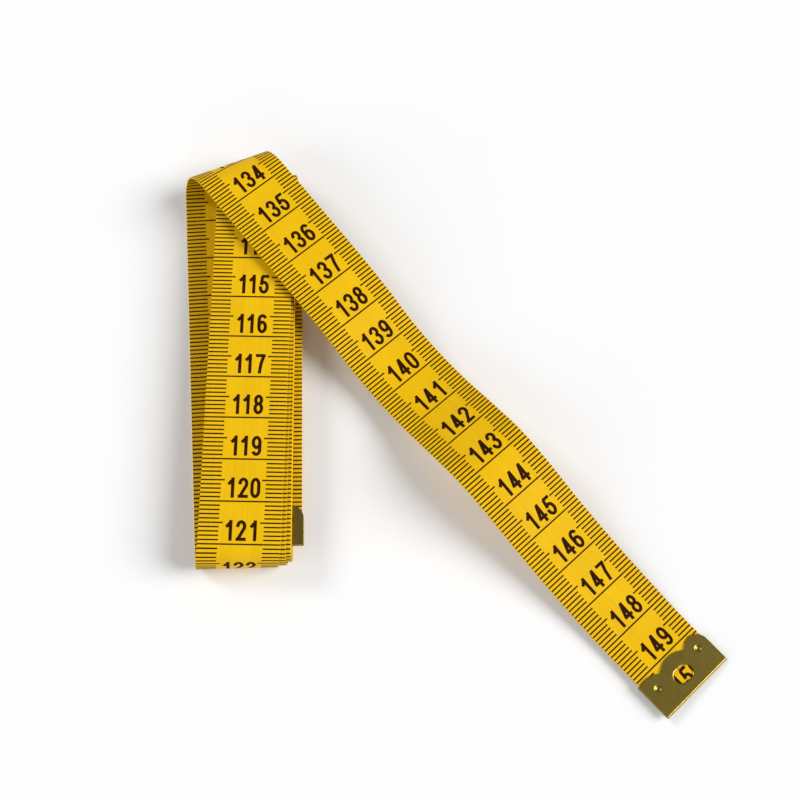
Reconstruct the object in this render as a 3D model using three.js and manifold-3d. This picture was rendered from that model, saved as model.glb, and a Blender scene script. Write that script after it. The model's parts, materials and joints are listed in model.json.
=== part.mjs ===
// Cloth tape measure, 150 cm long, wound flat with its last stretch lying free.
// Units are millimetres. +Z is up, and the tape lies on the plane z = 0.
// The winding runs along Y. It turns over in one big fold at its top end,
// and from there the tail crosses it and comes down to the ground.

import * as THREE from 'three';
import { mergeVertices } from 'three/addons/utils/BufferGeometryUtils.js';
import Module from 'manifold-3d';

// Tape
const TAPE_LENGTH = 1500;
const TAPE_WIDTH = 19;
const TAPE_THICKNESS = 0.3;
const TAIL_LENGTH = 164;

// Clear gap between neighbouring layers, and between neighbouring pieces
const LAYER_GAP = 0.41;
const PIECE_GAP = 0.3;

// Metal tips: a sheet folded over each end of the tape and crimped on
const TIP_SHEET = 0.3;
const TIP_CLEARANCE = 0.06;
const TIP_OVERHANG = 0.4;
const TIP_GRIP = 9.4;
const TIP_CORNER_RADIUS = 3.4;
const LOBE_COUNT = 3;
const LOBE_PITCH = 7.9;
const LOBE_DEPTH = 1.4;
const WINDOW_WIDTH = 4.9;
const WINDOW_LENGTH = 3.4;
const WINDOW_FROM_END = 4.2;
const WINDOW_TILT = 5;
const DIMPLE_RADIUS = 0.9;
const DIMPLE_DEPTH = 0.16;
const DIMPLE_FROM_END = 5.9;
const DIMPLE_FROM_MIDDLE = 6.75;

// Winding: a flat spiral with the zero end in its middle
const LOOP_COUNT = 7;
const FOLD_ROUNDNESS = 0.68;
const TOP_FOLD_STEP = 3.9;
const FOLD_STEPS = 12;

// Sideways place of the runs at the bottom fold, and their lean to the left.
// The slid loops are the outermost ones, which lie step by step further left than the inner ones.
const SLID_LOOPS = 2;
const ZERO_RUN_SHIFT = 4.7;
const ZERO_RUN_LEAN = 1.1;
const INNER_RUN_SHIFT = 2.3;
const INNER_RUN_LEAN = 0.4;
const TOP_RUN_SHIFT = 0;
const TOP_RUN_LEAN = -1;
const LOWER_RUN_SHIFT = -1.5;
const LOWER_RUN_LEAN = 3.7;

// Turn: the big fold from the lower run up to the tail
const TURN_LOWER_REACH = 4.7;
const TURN_UPPER_REACH = 7.2;
const TURN_STEPS = 24;
const TURN_HINGES = 4;

// Tail: heading in plan, counter-clockwise from +X, and radius of its slow swing
const TAIL_HEADING = -51.5;
const TAIL_SWING_RADIUS = 1870;
const TAIL_STEP = 2.5;

// Height of the tail's middle, by distance along the tail in plan:
// first above the winding it crosses, then above the ground
const OVER_WINDING_ROUTE = [[0, 2.25], [20, 1.95], [34, 0.95]];
const FREE_ROUTE = [
  [44, 9.6], [53, 6.3], [62, 5.4], [72, 7.0], [82, 10.7], [91.5, 13.1],
  [101, 11.4], [111, 7.7], [125, 3.9], [140, 1.6],
];

// Bends of the tail, by the same distance, and the length of its end that lies on the ground.
// The end is rolled a little, so that its edge on the winding's side is raised.
const KNEE_DISTANCE = 43;
const VALLEY_DISTANCE = 61;
const RIDGE_DISTANCE = 92;
const FOOT_BEFORE_LANDING = 16;
const LANDED_LENGTH = 15;
const END_ROLL = 4;

// Steps of the sums along a curve, and spacing of the points of the gap test
const CURVE_STEPS = 240;
const GAP_TEST_SPACING = 0.5;

// Sizes that follow
const halfWidth = TAPE_WIDTH / 2;
const halfThickness = TAPE_THICKNESS / 2;
const tipHalfThickness = halfThickness + TIP_CLEARANCE + TIP_SHEET;
const tipEnd = TIP_CLEARANCE + TIP_SHEET;
const tipHalfWidth = halfWidth + TIP_OVERHANG;
const pitch = TAPE_THICKNESS + LAYER_GAP;
const corePitch = tipHalfThickness + PIECE_GAP + halfThickness;
const lastRun = 2 * LOOP_COUNT;
const middleHeight = halfThickness + corePitch + (LOOP_COUNT - 1) * pitch;
const windingTop = 2 * middleHeight;
const turnTop = windingTop + OVER_WINDING_ROUTE[0][1];
const turnHalfHeight = (turnTop - halfThickness) / 2;
const landingDistance = TAIL_LENGTH - LANDED_LENGTH;
const footDistance = landingDistance - FOOT_BEFORE_LANDING;

const up = new THREE.Vector3(0, 0, 1);
const radians = THREE.MathUtils.degToRad;
const lerp = THREE.MathUtils.lerp;

// A station is one line across the tape: its two ends and the direction of the back face.
function station(middle, across, normal, reach = halfWidth) {
  const left = middle.clone().addScaledVector(across, -reach);
  const right = middle.clone().addScaledVector(across, reach);
  return { middle, across, normal, left, right };
}

function forwardOf({ across, normal }) {
  return normal.clone().cross(across);
}

// Winding

function runHeight(run) {
  if (run === 0) {
    return middleHeight;
  }
  const level = Math.ceil(run / 2);
  const offset = corePitch + (level - 1) * pitch;
  return run % 2 === 1 ? middleHeight + offset : middleHeight - offset;
}

// Line of a run in plan: x = shift + slope * y. The zero run sticks out at the right.
function runLine(run) {
  if (run === 0) {
    return { shift: ZERO_RUN_SHIFT, slope: -Math.tan(radians(ZERO_RUN_LEAN)) };
  }
  if (run === lastRun) {
    return { shift: LOWER_RUN_SHIFT, slope: -Math.tan(radians(LOWER_RUN_LEAN)) };
  }
  const level = Math.ceil(run / 2);
  const share = Math.max(0, 1 - (LOOP_COUNT - level) / SLID_LOOPS);
  const shift = lerp(INNER_RUN_SHIFT, TOP_RUN_SHIFT, share);
  const lean = lerp(INNER_RUN_LEAN, TOP_RUN_LEAN, share);
  return { shift, slope: -Math.tan(radians(lean)) };
}

// Fold between a run and the next one, with the crest of the outermost top fold at topCrest
function foldShape(run, topCrest) {
  const rise = (runHeight(run + 1) - runHeight(run)) / 2;
  const reach = FOLD_ROUNDNESS * Math.abs(rise);
  const atTop = run % 2 === 0;
  const turnsOutside = Math.floor((lastRun - 1 - run) / 2);
  const crest = atTop ? topCrest - turnsOutside * TOP_FOLD_STEP : turnsOutside * pitch;
  const side = atTop ? 1 : -1;
  return { rise, reach, side, y: crest - side * reach, z: runHeight(run) + rise };
}

function windingStation(run, share, y, z, forwardY, forwardZ) {
  const line = runLine(run);
  const next = runLine(Math.min(run + 1, lastRun));
  const slope = lerp(line.slope, next.slope, share);
  const x = lerp(line.shift + line.slope * y, next.shift + next.slope * y, share);
  const across = new THREE.Vector3(1, -slope, 0).normalize();
  const forward = new THREE.Vector3(0, forwardY, forwardZ);
  const normal = across.clone().cross(forward).normalize();
  return station(new THREE.Vector3(x, y, z), across, normal);
}

function foldStations(run, topCrest) {
  const { rise, reach, side, y, z } = foldShape(run, topCrest);
  const stations = [];
  for (let step = 0; step <= FOLD_STEPS; step += 1) {
    const share = step / FOLD_STEPS;
    const angle = Math.PI * share;
    const stationY = y + side * reach * Math.sin(angle);
    const stationZ = z - rise * Math.cos(angle);
    const forwardY = side * reach * Math.cos(angle);
    const forwardZ = rise * Math.sin(angle);
    stations.push(windingStation(run, share, stationY, stationZ, forwardY, forwardZ));
  }
  return stations;
}

// The zero end lies just inside the crest of the innermost bottom fold.
function zeroEndY(topCrest) {
  const { y, reach } = foldShape(1, topCrest);
  return y - reach + halfThickness + PIECE_GAP + tipEnd;
}

function windingStations(topCrest) {
  const stations = [windingStation(0, 0, zeroEndY(topCrest), runHeight(0), 1, 0)];
  for (let run = 0; run < lastRun; run += 1) {
    stations.push(...foldStations(run, topCrest));
  }
  return stations;
}

function lengthOf(points) {
  let length = 0;
  for (let i = 1; i < points.length; i += 1) {
    length += points[i].distanceTo(points[i - 1]);
  }
  return length;
}

// Turn: a round fold whose axis lies halfway between the lower run and the tail

const lowerHeading = radians(90 + LOWER_RUN_LEAN);
const turnAxisAngle = (lowerHeading + radians(TAIL_HEADING)) / 2;
const turnAxis = new THREE.Vector3(Math.cos(turnAxisAngle), Math.sin(turnAxisAngle), 0);
const turnOutward = up.clone().cross(turnAxis);
const turnSkew = lowerHeading - turnAxisAngle - Math.PI / 2;

function turnReach(angle) {
  return angle < Math.PI / 2 ? TURN_LOWER_REACH : TURN_UPPER_REACH;
}

function turnSpeed(angle) {
  return Math.hypot(turnReach(angle) * Math.cos(angle), turnHalfHeight * Math.sin(angle));
}

// Length round the fold from its start to an angle
function turnArc(angle) {
  const step = angle / CURVE_STEPS;
  let length = 0;
  for (let i = 0; i < CURVE_STEPS; i += 1) {
    length += turnSpeed((i + 0.5) * step) * step;
  }
  return length;
}

function turnStation(start, angle) {
  const outward = TURN_LOWER_REACH - turnReach(angle) * (1 - Math.sin(angle));
  const middle = start.clone()
    .addScaledVector(turnOutward, outward)
    .addScaledVector(turnAxis, -turnArc(angle) * Math.tan(turnSkew))
    .addScaledVector(up, turnHalfHeight * (1 - Math.cos(angle)));
  const forward = turnOutward.clone()
    .multiplyScalar(turnReach(angle) * Math.cos(angle))
    .addScaledVector(up, turnHalfHeight * Math.sin(angle));
  const normal = turnAxis.clone().cross(forward).normalize();
  return station(middle, turnAxis, normal, halfWidth / Math.cos(turnSkew));
}

function turnStations(start, fromAngle, toAngle) {
  const count = Math.max(1, Math.round(TURN_STEPS * (toAngle - fromAngle) / Math.PI));
  const stations = [];
  for (let i = 0; i <= count; i += 1) {
    stations.push(turnStation(start, lerp(fromAngle, toAngle, i / count)));
  }
  return stations;
}

// The outermost top fold lies where the winding, turn and tail add up to the tape's length.
// The winding's length grows evenly with the place of that fold.

// The lower run starts to turn under the end of the layer above it.
function turnStartAt(topCrest) {
  const { y } = foldShape(lastRun - 2, topCrest);
  const line = runLine(lastRun);
  return new THREE.Vector3(line.shift + line.slope * y, y, runHeight(lastRun));
}

function woundLength(topCrest) {
  const middles = windingStations(topCrest).map(({ middle }) => middle);
  return lengthOf([...middles, turnStartAt(topCrest)]);
}

function topCrestFor(length) {
  const near = TAPE_LENGTH / lastRun;
  const far = near + TAPE_WIDTH;
  const growth = (woundLength(far) - woundLength(near)) / (far - near);
  return near + (length - woundLength(near)) / growth;
}

const turnLength = turnArc(Math.PI) / Math.cos(turnSkew);
const topCrest = topCrestFor(TAPE_LENGTH - TAIL_LENGTH - turnLength);
const turnStart = turnStartAt(topCrest);
const tailStart = turnStation(turnStart, Math.PI).middle;

// Tail

// The lower edge of the rolled tip lies on the ground.
const endRoll = radians(END_ROLL);
const endHeight = tipHalfThickness * Math.cos(endRoll) + tipHalfWidth * Math.sin(endRoll);
const tailRoute = [
  ...OVER_WINDING_ROUTE.map(([distance, height]) => [distance, windingTop + height]),
  ...FREE_ROUTE.filter(([distance]) => distance < landingDistance),
  [landingDistance, endHeight],
];

// Slope of the route at one of its points, from its two neighbours. Both its ends are level.
function routeSlope(index) {
  if (index === 0 || index === tailRoute.length - 1) {
    return 0;
  }
  const [before, low] = tailRoute[index - 1];
  const [after, high] = tailRoute[index + 1];
  return (high - low) / (after - before);
}

// Height and slope of the tail, on a smooth curve through the route's points
function tailProfile(distance) {
  const last = tailRoute.length - 1;
  if (distance >= tailRoute[last][0]) {
    return { height: tailRoute[last][1], slope: 0 };
  }
  const index = tailRoute.findIndex(([end]) => end > distance) - 1;
  const [start, low] = tailRoute[index];
  const [end, high] = tailRoute[index + 1];
  const span = end - start;
  const share = (distance - start) / span;
  const leave = routeSlope(index) * span;
  const arrive = routeSlope(index + 1) * span;
  const bend = 3 * (high - low) - 2 * leave - arrive;
  const twist = leave + arrive - 2 * (high - low);
  const height = low + share * (leave + share * (bend + share * twist));
  const slope = (leave + share * (2 * bend + 3 * share * twist)) / span;
  return { height, slope };
}

function tailStation(distance) {
  const first = radians(TAIL_HEADING);
  const heading = first + distance / TAIL_SWING_RADIUS;
  const roll = endRoll * THREE.MathUtils.smoothstep(distance, footDistance, landingDistance);
  const { height, slope } = tailProfile(distance);
  const x = tailStart.x + TAIL_SWING_RADIUS * (Math.sin(heading) - Math.sin(first));
  const y = tailStart.y - TAIL_SWING_RADIUS * (Math.cos(heading) - Math.cos(first));
  const forward = new THREE.Vector3(Math.cos(heading), Math.sin(heading), slope).normalize();
  const level = new THREE.Vector3(-Math.sin(heading), Math.cos(heading), 0);
  const across = level.applyAxisAngle(forward, -roll);
  const normal = across.clone().cross(forward);
  return station(new THREE.Vector3(x, y, height), across, normal);
}

// Distance in plan at which the tail has used up a length of tape
function tailDistance(length) {
  const step = length / CURVE_STEPS;
  let distance = 0;
  for (let i = 0; i < CURVE_STEPS; i += 1) {
    distance += step / Math.hypot(1, tailProfile(distance).slope);
  }
  return distance;
}

function tailStations(fromDistance, toDistance) {
  const count = Math.max(1, Math.round((toDistance - fromDistance) / TAIL_STEP));
  const stations = [];
  for (let i = 0; i <= count; i += 1) {
    stations.push(tailStation(lerp(fromDistance, toDistance, i / count)));
  }
  return stations;
}

// Hinge lines, and the cuts a half gap before and after each of them

function turnHinge(index) {
  const name = `turn_hinge_${index + 1}`;
  const angle = Math.PI * (index + 0.5) / TURN_HINGES;
  const halfGap = PIECE_GAP / 2 / turnSpeed(angle);
  const point = turnStation(turnStart, angle).middle;
  return { name, before: angle - halfGap, after: angle + halfGap, point };
}

function tailHinge(name, distance) {
  const halfGap = PIECE_GAP / 2 / Math.hypot(1, tailProfile(distance).slope);
  const point = tailStation(distance).middle;
  return { name, before: distance - halfGap, after: distance + halfGap, point };
}

const turnCuts = Array.from({ length: TURN_HINGES }, (_, index) => turnHinge(index));
const tailCuts = [
  tailHinge('tail_knee', KNEE_DISTANCE),
  tailHinge('tail_valley', VALLEY_DISTANCE),
  tailHinge('tail_ridge', RIDGE_DISTANCE),
  tailHinge('tail_foot', footDistance),
];
const tailEnd = tailDistance(TAIL_LENGTH);

// Solid of a stretch of tape: a four-sided ring at each station, closed by two caps
function stretchGeometry(stations) {
  const positions = [];
  for (const { left, right, normal } of stations) {
    const offset = normal.clone().multiplyScalar(halfThickness);
    const corners = [
      left.clone().add(offset),
      right.clone().add(offset),
      right.clone().sub(offset),
      left.clone().sub(offset),
    ];
    corners.forEach((corner) => positions.push(...corner.toArray()));
  }
  const index = [0, 3, 2, 0, 2, 1];
  const last = 4 * (stations.length - 1);
  for (let ring = 0; ring < last; ring += 4) {
    for (let side = 0; side < 4; side += 1) {
      const a = ring + side;
      const b = ring + (side + 1) % 4;
      index.push(a, b, b + 4, a, b + 4, a + 4);
    }
  }
  index.push(last, last + 1, last + 2, last, last + 2, last + 3);
  const geometry = new THREE.BufferGeometry();
  geometry.setAttribute('position', new THREE.Float32BufferAttribute(positions, 3));
  geometry.setIndex(index);
  geometry.computeVertexNormals();
  return geometry;
}

// Tip, in its own frame: x along the tape and out past its end, which is at x = 0,
// y across the tape, z out of the face that has the window

const wasm = await Module();
wasm.setup();

function solidOf(geometry) {
  geometry.deleteAttribute('normal');
  geometry.deleteAttribute('uv');
  const merged = mergeVertices(geometry);
  return new wasm.Manifold(new wasm.Mesh({
    numProp: 3,
    vertProperties: new Float32Array(merged.attributes.position.array),
    triVerts: new Uint32Array(merged.index.array),
  }));
}

function geometryOf(solid) {
  const { vertProperties, triVerts } = solid.getMesh();
  const geometry = new THREE.BufferGeometry();
  geometry.setAttribute('position', new THREE.BufferAttribute(vertProperties, 3));
  geometry.setIndex(new THREE.BufferAttribute(triVerts, 1));
  geometry.computeVertexNormals();
  return geometry;
}

// The folded sheet seen from its side, run across the whole width
function foldedSheet() {
  const slot = halfThickness + TIP_CLEARANCE;
  const roundMiddle = tipEnd - tipHalfThickness;
  const shape = new THREE.Shape();
  shape.moveTo(-TIP_GRIP, -tipHalfThickness);
  shape.lineTo(roundMiddle, -tipHalfThickness);
  shape.absarc(roundMiddle, 0, tipHalfThickness, -Math.PI / 2, Math.PI / 2, false);
  shape.lineTo(-TIP_GRIP, tipHalfThickness);
  shape.lineTo(-TIP_GRIP, slot);
  shape.lineTo(TIP_CLEARANCE, slot);
  shape.lineTo(TIP_CLEARANCE, -slot);
  shape.lineTo(-TIP_GRIP, -slot);
  shape.closePath();
  const geometry = new THREE.ExtrudeGeometry(shape, {
    depth: 2 * tipHalfWidth,
    bevelEnabled: false,
    curveSegments: 8,
  });
  geometry.rotateX(Math.PI / 2);
  geometry.translate(0, tipHalfWidth, 0);
  return geometry;
}

// The tip's outline from above: round lobes on its inner edge, straight past its outer end.
// It is wider than the sheet, whose sides cut off the outer lobes.
function lobedOutline() {
  const lobeHalf = LOBE_PITCH / 2;
  const outlineHalf = LOBE_COUNT * lobeHalf;
  const radius = (lobeHalf ** 2 + LOBE_DEPTH ** 2) / (2 * LOBE_DEPTH);
  const halfAngle = Math.asin(lobeHalf / radius);
  const shape = new THREE.Shape();
  shape.moveTo(2 * tipEnd, -outlineHalf);
  shape.lineTo(2 * tipEnd, outlineHalf);
  for (let lobe = 0; lobe < LOBE_COUNT; lobe += 1) {
    const y = outlineHalf - (2 * lobe + 1) * lobeHalf;
    shape.absarc(radius - TIP_GRIP, y, radius, Math.PI - halfAngle, Math.PI + halfAngle, false);
  }
  shape.closePath();
  const depth = 4 * tipHalfThickness;
  const geometry = new THREE.ExtrudeGeometry(shape, { depth, bevelEnabled: false, curveSegments: 8 });
  geometry.translate(0, 0, -depth / 2);
  return geometry;
}

// What lies outside the round inner corner at positive y
function cornerCut() {
  const middleX = TIP_CORNER_RADIUS - TIP_GRIP;
  const middleY = tipHalfWidth - TIP_CORNER_RADIUS;
  const outsideX = -TIP_GRIP - tipEnd;
  const outsideY = tipHalfWidth + tipEnd;
  const shape = new THREE.Shape();
  shape.absarc(middleX, middleY, TIP_CORNER_RADIUS, Math.PI / 2, Math.PI, false);
  shape.lineTo(outsideX, middleY);
  shape.lineTo(outsideX, outsideY);
  shape.lineTo(middleX, outsideY);
  shape.closePath();
  const depth = 4 * tipHalfThickness;
  const geometry = new THREE.ExtrudeGeometry(shape, { depth, bevelEnabled: false, curveSegments: 8 });
  geometry.translate(0, 0, -depth / 2);
  return geometry;
}

// Round-ended window, a little askew, only through the face at positive z
function windowCut() {
  const radius = WINDOW_LENGTH / 2;
  const straight = WINDOW_WIDTH / 2 - radius;
  const shape = new THREE.Shape();
  shape.absarc(0, straight, radius, 0, Math.PI, false);
  shape.absarc(0, -straight, radius, Math.PI, 2 * Math.PI, false);
  shape.closePath();
  const depth = 2 * tipHalfThickness;
  const geometry = new THREE.ExtrudeGeometry(shape, { depth, bevelEnabled: false, curveSegments: 8 });
  geometry.rotateZ(-radians(WINDOW_TILT));
  geometry.translate(-WINDOW_FROM_END, 0, 0);
  return geometry;
}

// A ball that leaves a shallow round dimple in the face at positive z
function dimpleCut(side) {
  const radius = (DIMPLE_RADIUS ** 2 + DIMPLE_DEPTH ** 2) / (2 * DIMPLE_DEPTH);
  const geometry = new THREE.SphereGeometry(radius, 48, 24);
  geometry.rotateX(Math.PI / 2);
  geometry.translate(-DIMPLE_FROM_END, side * DIMPLE_FROM_MIDDLE, tipHalfThickness - DIMPLE_DEPTH + radius);
  return geometry;
}

function tipGeometry() {
  let solid = solidOf(foldedSheet()).intersect(solidOf(lobedOutline()));
  solid = solid.subtract(solidOf(cornerCut()));
  solid = solid.subtract(solidOf(windowCut()));
  solid = solid.subtract(solidOf(dimpleCut(1)));
  solid = solid.subtract(solidOf(dimpleCut(-1)));
  return geometryOf(solid);
}

// Meshes

function tapeMesh(name, stations) {
  const material = new THREE.MeshStandardMaterial({ color: 0xe8b808, roughness: 0.5, metalness: 0 });
  const mesh = new THREE.Mesh(stretchGeometry(stations), material);
  mesh.name = name;
  return mesh;
}

function tipMesh(name, end, outward, front) {
  const material = new THREE.MeshStandardMaterial({ color: 0x8c7a3c, roughness: 0.35, metalness: 1 });
  const mesh = new THREE.Mesh(tipGeometry(), material);
  const across = front.clone().cross(outward);
  const frame = new THREE.Matrix4().makeBasis(outward, across, front);
  mesh.quaternion.setFromRotationMatrix(frame);
  mesh.position.copy(end.middle);
  mesh.name = name;
  return mesh;
}

const winding = [
  ...windingStations(topCrest),
  ...turnStations(turnStart, 0, turnCuts[0].before),
];
const zeroStation = winding[0];
const endStation = tailStation(tailEnd);

const tapeWinding = tapeMesh('tape_winding', winding);

// Each face is numbered up to the end where its tip has the window: the front at the tape's end,
// the back at its zero end.
const zeroTip = tipMesh('zero_tip', zeroStation, forwardOf(zeroStation).negate(), zeroStation.normal);
const endTip = tipMesh('end_tip', endStation, forwardOf(endStation), endStation.normal.clone().negate());

const turnMeshes = turnCuts.slice(1).map((cut, index) => {
  const stations = turnStations(turnStart, turnCuts[index].after, cut.before);
  return tapeMesh(`turn_stretch_${index + 1}`, stations);
});

const tailNames = ['tail_over_winding', 'tail_descent', 'tail_rise', 'tail_slope', 'tail_end'];
const tailMeshes = tailNames.map((name, index) => {
  const to = index < tailCuts.length ? tailCuts[index].before : tailEnd;
  if (index > 0) {
    return tapeMesh(name, tailStations(tailCuts[index - 1].after, to));
  }
  const squareFrom = halfWidth * Math.tan(Math.abs(turnSkew)) + PIECE_GAP;
  const lead = turnStations(turnStart, turnCuts[TURN_HINGES - 1].after, Math.PI);
  return tapeMesh(name, [...lead, ...tailStations(squareFrom, to)]);
});

// Least clear distance between layers of the winding, on points along its middle line
function leastGap(stations) {
  const points = [];
  const lengths = [];
  let length = 0;
  for (let i = 1; i < stations.length; i += 1) {
    const from = stations[i - 1].middle;
    const to = stations[i].middle;
    const span = from.distanceTo(to);
    const count = Math.ceil(span / GAP_TEST_SPACING);
    for (let k = 0; k < count; k += 1) {
      points.push(from.clone().lerp(to, k / count));
      lengths.push(length + span * k / count);
    }
    length += span;
  }
  const sameFold = Math.PI * corePitch;
  let least = Infinity;
  for (let i = 0; i < points.length; i += 1) {
    for (let k = i + 1; k < points.length; k += 1) {
      if (lengths[k] - lengths[i] > sameFold) {
        least = Math.min(least, Math.hypot(points[k].y - points[i].y, points[k].z - points[i].z));
      }
    }
  }
  return least - TAPE_THICKNESS;
}

console.log(`winding: least gap to itself ${leastGap(winding).toFixed(3)} mm`);

// Scene graph: each hinge is a group at its line, and carries all that comes after it.

const part = new THREE.Group();
part.add(tapeWinding, zeroTip);

const hinges = [...turnCuts, ...tailCuts];
const stretches = [...turnMeshes, ...tailMeshes];
let carrier = part;
hinges.forEach(({ name, point }, index) => {
  const hinge = new THREE.Group();
  hinge.name = name;
  hinge.position.copy(point);
  part.add(hinge);
  hinge.attach(stretches[index]);
  if (index === hinges.length - 1) {
    hinge.attach(endTip);
  }
  carrier.attach(hinge);
  carrier = hinge;
});

// The origin is under the middle of the whole part.
const box = new THREE.Box3().setFromObject(part, true);
const middle = box.getCenter(new THREE.Vector3());
part.position.set(-middle.x, -middle.y, -box.min.z);
part.updateMatrixWorld(true);

export default part;
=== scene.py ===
import json
import math

import bmesh
import bpy
import numpy as np
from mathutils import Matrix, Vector


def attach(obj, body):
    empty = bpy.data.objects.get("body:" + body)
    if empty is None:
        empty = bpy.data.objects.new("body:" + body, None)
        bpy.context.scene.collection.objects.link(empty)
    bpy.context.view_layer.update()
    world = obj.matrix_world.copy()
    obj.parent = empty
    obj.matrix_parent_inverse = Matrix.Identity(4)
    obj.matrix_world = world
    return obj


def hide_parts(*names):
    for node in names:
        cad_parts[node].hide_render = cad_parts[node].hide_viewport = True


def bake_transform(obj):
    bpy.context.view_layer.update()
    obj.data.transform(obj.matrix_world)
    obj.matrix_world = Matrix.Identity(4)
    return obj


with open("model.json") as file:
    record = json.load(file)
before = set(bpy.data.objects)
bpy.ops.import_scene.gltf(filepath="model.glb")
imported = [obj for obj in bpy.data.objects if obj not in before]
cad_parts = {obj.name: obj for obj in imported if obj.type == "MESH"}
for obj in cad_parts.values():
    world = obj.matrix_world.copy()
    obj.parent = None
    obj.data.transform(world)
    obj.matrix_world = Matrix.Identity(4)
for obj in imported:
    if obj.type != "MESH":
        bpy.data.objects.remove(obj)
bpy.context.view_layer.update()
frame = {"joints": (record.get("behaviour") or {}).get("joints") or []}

# Looks of a cloth tape measure, 150 cm long, wound flat with its last stretch lying free.
# Lengths are in millimetres, in the frame of the winding: +Z is up and +Y runs along the winding.
# Meshes are written in metres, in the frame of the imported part.

METRES = 0.001

# Tape
TAPE_LENGTH = 1500
TAPE_WIDTH = 19
TAPE_THICKNESS = 0.3
TAIL_LENGTH = 164
LAYER_GAP = 0.41
PIECE_GAP = 0.3
EDGE_ROUND = 0.12

# Metal tips
TIP_SHEET = 0.3
TIP_CLEARANCE = 0.06
TIP_OVERHANG = 0.4
TIP_GRIP = 9.4
TIP_CORNER_RADIUS = 3.4
LOBE_PITCH = 7.9
LOBE_DEPTH = 1.4
WINDOW_WIDTH = 4.9
WINDOW_LENGTH = 3.4
WINDOW_FROM_END = 4.2
WINDOW_TILT = 5
DIMPLE_RADIUS = 0.95
DIMPLE_DEPTH = 0.26
DIMPLE_FLOOR = 0.3
DIMPLE_FROM_END = 5.9
DIMPLE_FROM_MIDDLE = 6.75

# Winding: a flat spiral with the zero end in its middle
LOOP_COUNT = 7
FOLD_ROUNDNESS = 0.68
TOP_FOLD_STEP = 3.9
FOLD_STEPS = 12
FINE_FOLD_STEPS = 36

# Sideways place of the runs at the bottom fold, and their lean to the left.
# The slid loops are the outermost ones, which lie step by step further left than the inner ones.
SLID_LOOPS = 2
ZERO_RUN_SHIFT = 4.7
ZERO_RUN_LEAN = 1.1
INNER_RUN_SHIFT = 2.3
INNER_RUN_LEAN = 0.4
TOP_RUN_SHIFT = 0
TOP_RUN_LEAN = -1
LOWER_RUN_SHIFT = -1.5
LOWER_RUN_LEAN = 3.7

# Turn: the big fold from the lower run up to the tail
TURN_LOWER_REACH = 4.7
TURN_UPPER_REACH = 7.2
TURN_HINGES = 4

# Tail: heading in plan, counter-clockwise from +X, and radius of its slow swing
TAIL_HEADING = -51.5
TAIL_SWING_RADIUS = 1870

# Height of the tail's middle, by distance along the tail in plan:
# first above the winding it crosses, then above the ground
OVER_WINDING_ROUTE = [(0, 2.25), (20, 1.95), (34, 0.95)]
FREE_ROUTE = [
    (44, 9.6), (53, 6.3), (62, 5.4), (72, 7.0), (82, 10.7), (91.5, 13.1),
    (101, 11.4), (111, 7.7), (125, 3.9), (140, 1.6),
]
KNEE_DISTANCE = 43
VALLEY_DISTANCE = 61
RIDGE_DISTANCE = 92
FOOT_BEFORE_LANDING = 16
LANDED_LENGTH = 15
CURVE_STEPS = 2000

# Roll of the tail's end, whose edge on the winding's side is raised
END_ROLL = 4

# Print, on both faces: a line at each millimetre from both edges, and a number at each centimetre
LINE_WIDTH = 0.34
SHORT_TICK = 4.35
HALF_TICK = 5.2
PRINT_SHIFT = 0.35
INK_RISE = 0.02
INK_ROOT = 0.05
DIGIT_HEIGHT = 4.8
DIGIT_WIDTH = 2.3
DIGIT_STROKE = 0.75
DIGIT_PITCH = 2.8
ONES_PITCH = 2.4
DIGIT_GAP = 0.8
STROKE_STEP = 0.35
STROKE_LIFT = 0.003

# Finishes: colours from dark to light, and the scales of their noise by length and width of the tape
TAPE_COLOURS = [
    (0.3, (0.86, 0.505, 0.003)), (0.55, (0.9, 0.535, 0.003)), (0.75, (0.93, 0.56, 0.005)),
]
TAPE_PATCHES = [(0.3, (0.94, 0.93, 0.9)), (0.7, (1.0, 1.0, 1.0))]
TAPE_STREAK_SCALE = (25, 1500, 1)
TAPE_PATCH_SCALE = (90, 160, 1)
TAPE_ROUGHNESS = (0.42, 0.58)
TAPE_SPECULAR = 0.1
THREAD_PITCH = 0.4
WEAVE_RELIEF = 0.02
WEAVE_STRENGTH = 0.25
INK_COLOURS = [(0.35, (0.022, 0.006, 0.0005)), (0.75, (0.05, 0.013, 0.001))]
INK_COVER_SCALE = (2500, 2500, 2500)
INK_ROUGHNESS = 0.6
INK_SPECULAR = 0.04
BRASS_COLOURS = [(0.3, (0.342, 0.239, 0.038)), (0.7, (0.398, 0.285, 0.047))]
BRASS_GRAIN = [(0.3, (0.95, 0.945, 0.93)), (0.7, (1.0, 1.0, 1.0))]
BRASS_STAIN_SCALE = (350, 450, 1)
BRASS_GRAIN_SCALE = (9000, 250, 1)
BRASS_GRAIN_HARSHNESS = 0.6
BRASS_ROUGHNESS = (0.23, 0.31)
BRASS_RELIEF = 0.02
BRASS_RELIEF_STRENGTH = 0.07
LACQUER_WEIGHT = 0.4
LACQUER_ROUGHNESS = 0.2
FLOOR_COLOUR = (0.97, 0.97, 0.97, 1)
FLOOR_ROUGHNESS = 0.9
FLOOR_SPECULAR = 0.1

# Stage
FLOOR_SIZE = 3000
FLOOR_DROP = 0.02
WORLD_COLOUR = (0.97, 0.98, 1.0, 1)
WORLD_STRENGTH = 0.25

# Each lamp: its name, azimuth counter-clockwise from +X, elevation, strength and width in degrees
LAMPS = [
    ("key", 0, 40, 2.44, 36),
    ("front", 275, 25, 0.2, 20),
    ("fill", 150, 40, 0.8, 20),
    ("low_fill", 210, 22, 0.73, 50),
]

# Camera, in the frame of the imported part
CAMERA_PLACE = (-10.52, -96.78, 344.23)
CAMERA_TARGET = (-10.59, 6.97, 0)
CAMERA_LENS = 67.07
CAMERA_SENSOR = 36

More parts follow.
